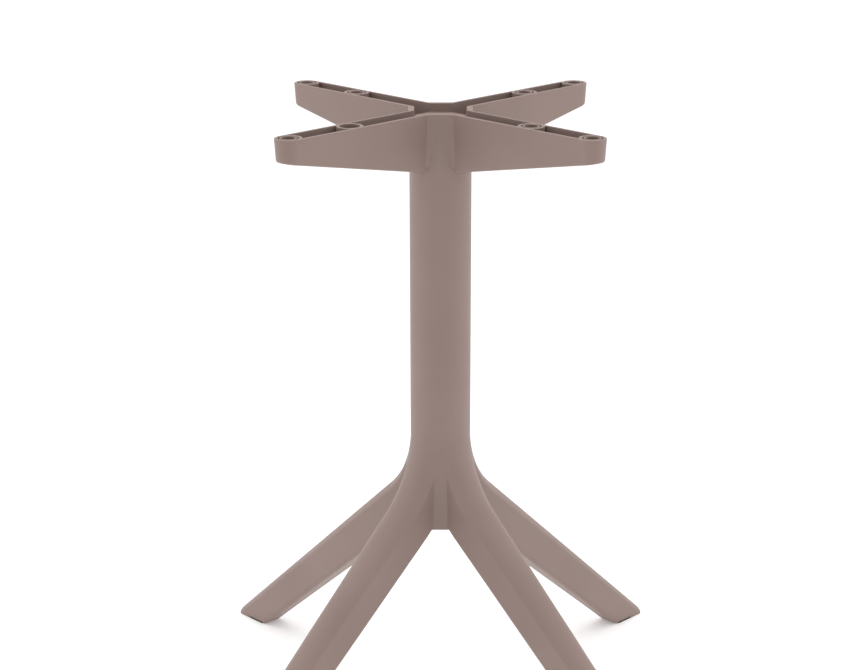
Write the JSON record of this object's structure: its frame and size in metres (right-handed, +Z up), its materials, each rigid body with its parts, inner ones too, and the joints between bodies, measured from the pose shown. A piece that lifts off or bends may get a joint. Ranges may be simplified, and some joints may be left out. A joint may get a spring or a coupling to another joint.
{
  "type": "table base",
  "caption": "Column table base with splayed legs that bend out of a round column and a spider of open channel arms that screw to a table top.",
  "frame": {"origin": "on the floor, on the axis of the column, midway between the four feet", "axes": "+Z up along the column; the arms and legs lie on the diagonals; the picture looks along +Y with +X to the right"},
  "size_m": [0.5284, 0.5284, 0.72],
  "materials": {
    "resin": "satin, fine grain",
    "bush_resin": "satin",
    "pad_rubber": "matte"
  },
  "bodies": {
    "root": {"base_moulding": "resin", "bush_back_right_tip": "bush_resin", "bush_back_right_middle": "bush_resin", "bush_back_left_tip": "bush_resin", "bush_back_left_middle": "bush_resin", "bush_front_left_tip": "bush_resin", "bush_front_right_tip": "bush_resin", "bush_front_right_middle": "bush_resin", "pad_back_right": "pad_rubber", "pad_back_left": "pad_rubber", "pad_front_left": "pad_rubber", "pad_front_right": "pad_rubber"}
  },
  "joints": []
}
